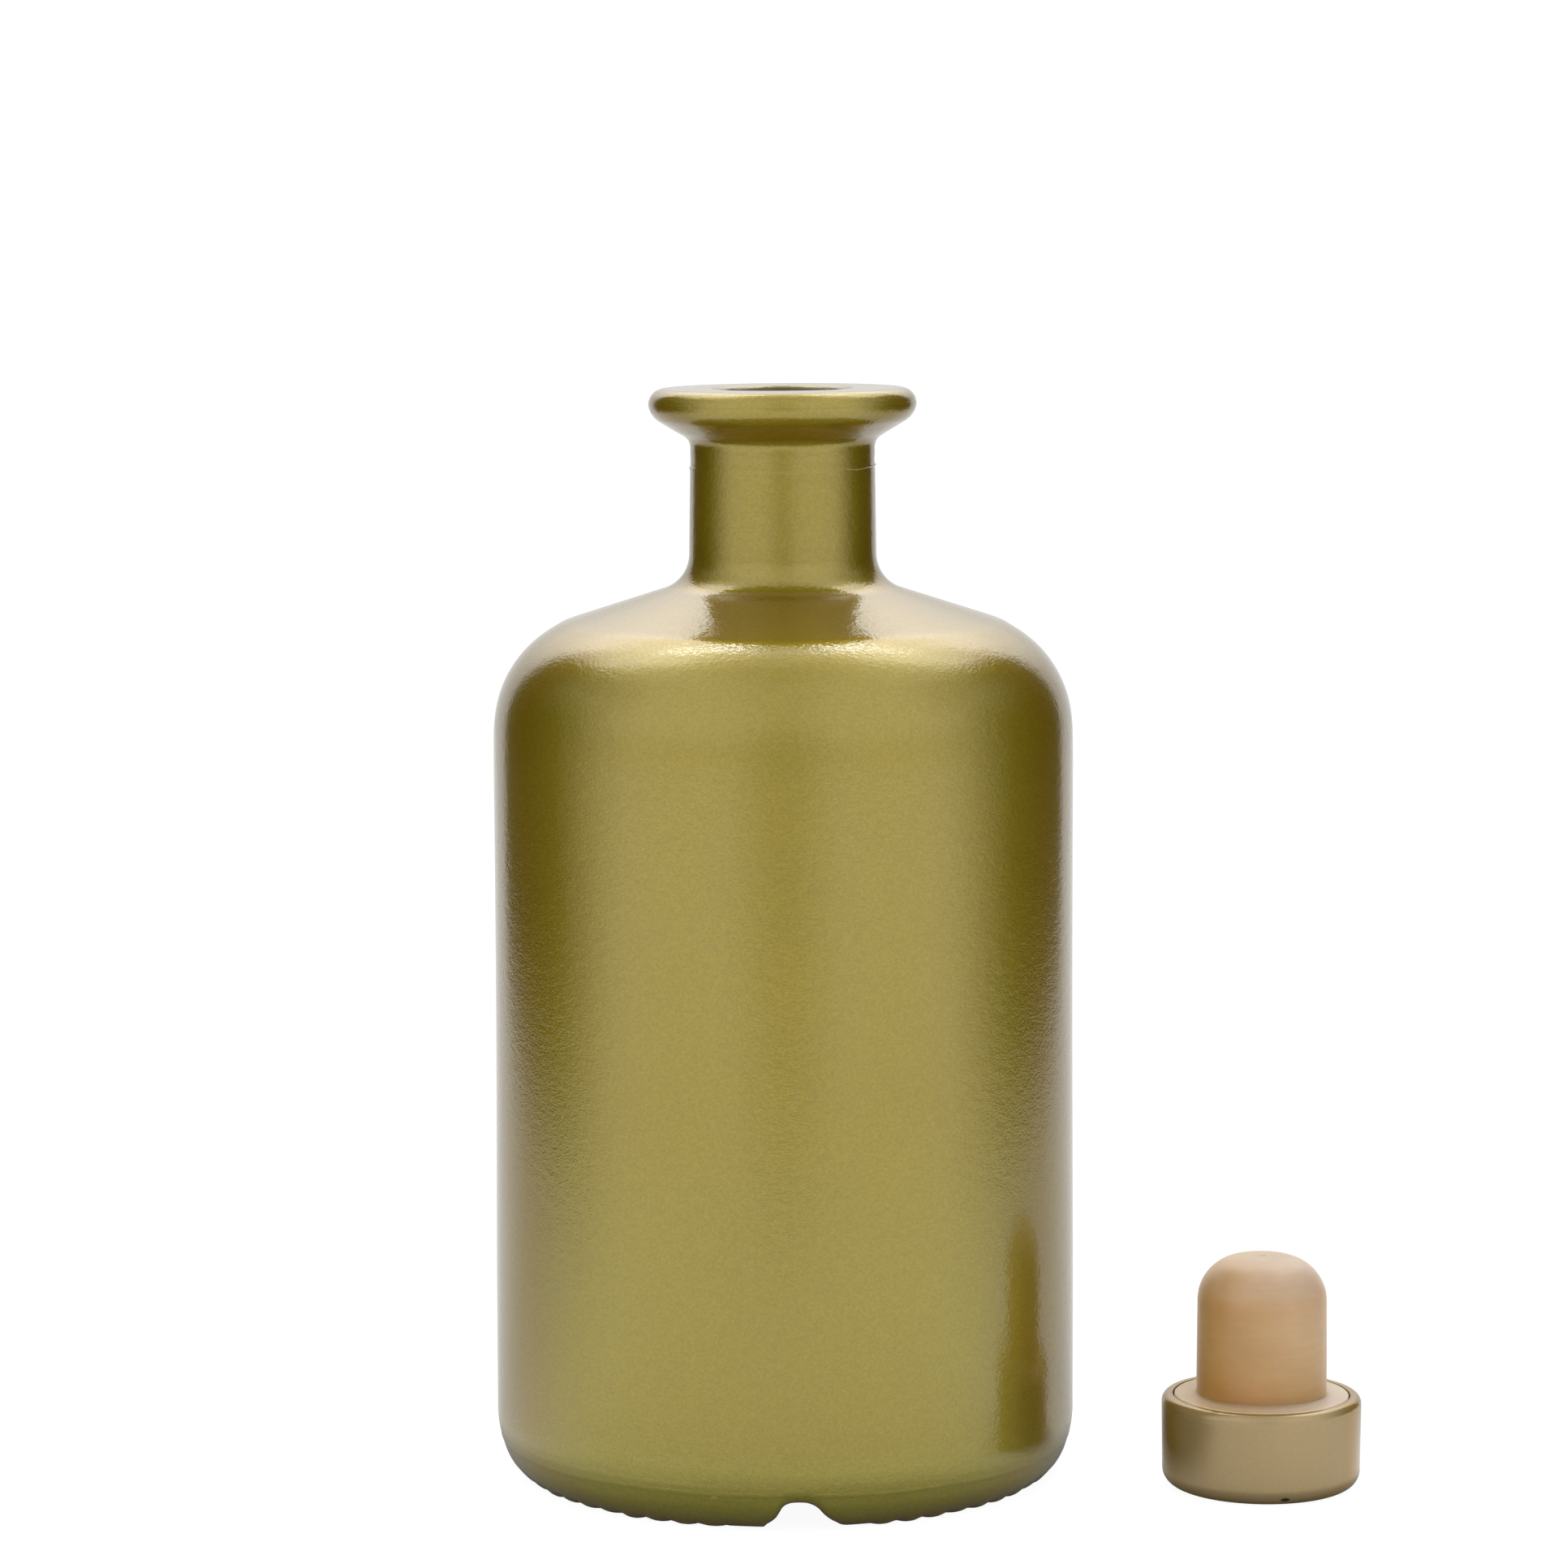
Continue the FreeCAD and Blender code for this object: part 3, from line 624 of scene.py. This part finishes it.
# ----------------------------------------------------------- stopper cork
def cork_section():
    p = [(0.0, 10.87)]
    p += line(p[-1], (12.55, 10.87), 4)
    p += line(p[-1], (12.55, 13.06), 6)
    p += arc(12.33, 13.08, 0.22, 0, 90, 5)
    p += line(p[-1], (9.87, 13.31), 6)
    p += arc(9.87, 13.76, 0.45, 270, 180, 8)
    p += line(p[-1], (9.31, 27.0), 20)
    p += arc(2.81, 27.0, 6.49, 0, 90, 26)
    p += line(p[-1], (0.75, 33.48), 4)
    p += [(0.66, 33.46), (0.58, 33.39), (0.50, 33.34), (0.30, 33.33), (0.0, 33.33)]
    return p


def cork_shape(r, z, a):
    r = r.copy()
    z = z.copy()
    r0, z0 = float(r[0]), float(z[0])
    if r0 < 1e-6 or z0 < 13.5 or r0 < 2.0:
        return r, z
    w = np.array([noise.noise(Vector((math.cos(t) * 1.6, math.sin(t) * 1.6 + 7, z0 * 0.12))) for t in a])
    return r + 0.03 * (w - 0.4), z


cork = lathe("stopper_cork_moulded", cork_section(), even, (SX, SY), cork_shape)
cork_mat = synthetic_cork("synthetic_cork_beige")
cork.data.materials.append(cork_mat)
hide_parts("stopper_cork")
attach(cork, "root")

# ------------------------------------------------------------------ stage
# A white paper table. Except to the camera, its colour holds painted shade: brighter towards the front where the
# lights stand, darker at the sides and back, and a painted contact shadow round the bottle and the cap. To the camera
# it is a plain 0.9 white, mostly shown as a white glow.
TABLE_X, TABLE_Y0, TABLE_Y1 = 0.50, -0.50, 1.00
me = bpy.data.meshes.new("floor")
me.from_pydata(
    [(-TABLE_X, TABLE_Y0, 0), (TABLE_X, TABLE_Y0, 0), (TABLE_X, TABLE_Y1, 0), (-TABLE_X, TABLE_Y1, 0)],
    [], [(0, 1, 2, 3)])
floor = bpy.data.objects.new("floor", me)
scene.collection.objects.link(floor)
floor.location = (0.0, 0.0, -0.00002)
fm = bpy.data.materials.new("floor_white")
nt, fb = nodes_of(fm)
tc = nt.nodes.new("ShaderNodeTexCoord")
sp = nt.nodes.new("ShaderNodeSeparateXYZ")
nt.links.new(tc.outputs["Object"], sp.inputs[0])


fx = mathn(nt, "ABSOLUTE", sp.outputs[0])
faz = mathn(nt, "MULTIPLY", mathn(nt, "ARCTAN2", fx, mathn(nt, "MULTIPLY", sp.outputs[1], -1.0)), 180 / math.pi)
far = mathn(nt, "SQRT", mathn(nt, "ADD", mathn(nt, "MULTIPLY", fx, fx),
                              mathn(nt, "MULTIPLY", sp.outputs[1], sp.outputs[1])))
# painted shade: the table's colour falls from the front to the sides and back
floor_tone_with_painted_shade = mathn(nt, "MULTIPLY_ADD", step(nt, faz, 60.0, 118.0), -0.45, 0.94)
# painted contact shadow: darker within about 6 cm of the bottle's axis
near = mathn(nt, "MULTIPLY_ADD", step(nt, far, 0.041, 0.060), 0.65, 0.35)
cx = mathn(nt, "ADD", sp.outputs[0], -SX * MM)
cy = mathn(nt, "ADD", sp.outputs[1], -SY * MM)
far2 = mathn(nt, "SQRT", mathn(nt, "ADD", mathn(nt, "MULTIPLY", cx, cx), mathn(nt, "MULTIPLY", cy, cy)))
# and a painted contact shadow round the cap
near = mathn(nt, "MULTIPLY", near, mathn(nt, "MULTIPLY_ADD", step(nt, far2, 0.0135, 0.022), 0.60, 0.40))
floor_tone_with_painted_shade = mathn(nt, "MULTIPLY", floor_tone_with_painted_shade, near)
lpf = nt.nodes.new("ShaderNodeLightPath")
floor_tone_with_painted_shade = mathn(nt, "ADD", mathn(nt, "MULTIPLY", floor_tone_with_painted_shade, mathn(nt, "SUBTRACT", 1.0, lpf.outputs["Is Camera Ray"])),
              mathn(nt, "MULTIPLY", 0.9, lpf.outputs["Is Camera Ray"]))
comb = nt.nodes.new("ShaderNodeCombineColor")
for k in range(3):
    nt.links.new(floor_tone_with_painted_shade, comb.inputs[k])
nt.links.new(comb.outputs[0], fb.inputs["Base Color"])
fb.inputs["Roughness"].default_value = 0.9
fb.inputs["Specular IOR Level"].default_value = 0.0
clear = nt.nodes.new("ShaderNodeBsdfTransparent")
edge = nt.nodes.new("ShaderNodeMixShader")
fade = mathn(nt, "MAXIMUM", step(nt, fx, 0.25, 0.47),
             step(nt, mathn(nt, "MULTIPLY", sp.outputs[1], -1.0), 0.27, 0.48))
seen = nt.nodes.new("ShaderNodeMixShader")
glow = nt.nodes.new("ShaderNodeEmission")
glow.inputs["Strength"].default_value = 1.05
nt.links.new(mathn(nt, "MULTIPLY", lpf.outputs["Is Camera Ray"], 0.90), seen.inputs[0])
nt.links.new(fb.outputs[0], seen.inputs[1])
nt.links.new(glow.outputs[0], seen.inputs[2])
nt.links.new(fade, edge.inputs[0])
nt.links.new(seen.outputs[0], edge.inputs[1])
nt.links.new(clear.outputs[0], edge.inputs[2])
nt.links.new(edge.outputs[0], [n for n in nt.nodes if n.type == "OUTPUT_MATERIAL"][0].inputs["Surface"])
floor.data.materials.append(fm)

# Studio surround, as directions: two broad panels in front with a gap for the
# camera, black flags at both sides, a paper backdrop, a ceiling, and a soft
# box above and behind. az is folded left to right, 0 towards the camera.
world = bpy.data.worlds.new("studio")
scene.world = world
world.use_nodes = True
wn = world.node_tree
wn.nodes.clear()
out = wn.nodes.new("ShaderNodeOutputWorld")
tc = wn.nodes.new("ShaderNodeTexCoord")
sp = wn.nodes.new("ShaderNodeSeparateXYZ")
wn.links.new(tc.outputs["Generated"], sp.inputs[0])
X, Y, Z = sp.outputs


def W(op, a, b=None, c=None, clamp=False):
    return mathn(wn, op, a, b, c, clamp)


def S(src, a, b):
    return step(wn, src, a, b)


def blend(a, b, t):
    return W("ADD", W("MULTIPLY", a, W("SUBTRACT", 1.0, t)), W("MULTIPLY", b, t))


def bell(src, mid, width):
    d = W("DIVIDE", W("SUBTRACT", src, mid), width)
    return W("EXPONENT", W("MULTIPLY", W("MULTIPLY", d, d), -1.0))


az = W("MULTIPLY", W("ARCTAN2", W("ABSOLUTE", X), W("MULTIPLY", Y, -1.0)), 180 / math.pi)
el = W("MULTIPLY", W("ARCSINE", Z), 180 / math.pi)

gap_level = W("MULTIPLY_ADD", S(el, 10.0, 32.0), 0.32, 0.98)
panel_level = W("MULTIPLY_ADD", S(el, -9.0, 2.0), -0.16, 1.96)
panel = blend(gap_level, panel_level, S(az, -2.0, 26.0))
dip = W("MULTIPLY_ADD", W("MULTIPLY", S(el, -9.5, -4.0), W("SUBTRACT", 1.0, S(el, 0.0, 16.0))), -0.21, 1.0)
panel = W("MULTIPLY", W("MULTIPLY", panel, dip), W("SUBTRACT", 1.0, S(az, 58.0, 105.0)))
backdrop = W("MULTIPLY", W("MULTIPLY_ADD", S(el, 8.0, 30.0), 0.9, 0.78), S(az, 140.0, 148.0))
low = W("ADD", panel, backdrop)
ceiling = W("ADD", W("MULTIPLY_ADD", S(az, 5.0, 40.0), 0.32, 1.36), W("MULTIPLY", S(az, 75.0, 110.0), 0.36))
ceiling = W("MULTIPLY", ceiling, W("MULTIPLY_ADD", S(el, 62.0, 82.0), -0.32, 1.0))
level = blend(low, ceiling, S(el, 34.0, 60.0))
edge_mid = W("MAXIMUM", W("MULTIPLY_ADD", az, -0.45, 98.75), 33.0)
edge_half = W("MULTIPLY_ADD", S(az, 120.0, 150.0), 5.0, 4.0)
soft_box = W("MULTIPLY", S(az, 106.0, 124.0),
             W("MULTIPLY", S(el, W("SUBTRACT", edge_mid, edge_half), W("ADD", edge_mid, edge_half)),
               W("SUBTRACT", 1.0, S(el, 63.0, 78.0))))
core = W("MULTIPLY", bell(az, 150.0, 20.0), bell(el, 60.0, 5.5))
strength = W("MULTIPLY_ADD", S(az, 118.0, 145.0), -0.50, 2.10)
soft_box = W("MULTIPLY", soft_box, W("MULTIPLY_ADD", S(az, 165.0, 177.0), -0.80, 1.0))
glint = W("MULTIPLY", W("MULTIPLY", S(az, 132.0, 154.0), W("SUBTRACT", 1.0, S(az, 163.0, 168.0))),
          bell(el, W("MULTIPLY_ADD", az, 0.36, 7.3), 1.6))
side_fill = W("MULTIPLY", bell(az, 97.0, 18.0), bell(el, 32.0, 12.0))
level = W("ADD", level, W("ADD", W("MULTIPLY", soft_box, strength),
                          W("ADD", W("MULTIPLY", core, 0.25), W("ADD", W("MULTIPLY", glint, 12.5), W("MULTIPLY", side_fill, 0.60)))))
lp = wn.nodes.new("ShaderNodeLightPath")
light = wn.nodes.new("ShaderNodeBackground")
light.inputs["Color"].default_value = (1.0, 1.0, 1.0, 1.0)
wn.links.new(level, light.inputs["Strength"])
plain = wn.nodes.new("ShaderNodeBackground")
plain.inputs["Color"].default_value = (1, 1, 1, 1)
plain.inputs["Strength"].default_value = 1.05
mx = wn.nodes.new("ShaderNodeMixShader")
wn.links.new(lp.outputs["Is Camera Ray"], mx.inputs[0])
wn.links.new(light.outputs[0], mx.inputs[1])
wn.links.new(plain.outputs[0], mx.inputs[2])
wn.links.new(mx.outputs[0], out.inputs["Surface"])

# ----------------------------------------------------------------- camera
cam = bpy.data.cameras.new("camera")
cam.sensor_fit = "AUTO"
cam.sensor_width = 36.0
cam.lens = 6329.52 / 1932.0 * 36.0
cam.clip_start, cam.clip_end = 0.01, 50.0
cob = bpy.data.objects.new("camera", cam)
scene.collection.objects.link(cob)
pitch, roll = 0.11794, -0.00299
fwd = Vector((0.0, math.cos(pitch), -math.sin(pitch)))
right = Vector((1.0, 0.0, 0.0))
up = right.cross(fwd)
r2 = right * math.cos(roll) + up * math.sin(roll)
u2 = -right * math.sin(roll) + up * math.cos(roll)
rot = Matrix((r2, u2, -fwd)).transposed()
cob.matrix_world = Matrix.Translation((0.0, -0.740, 0.18823)) @ rot.to_4x4()
scene.camera = cob
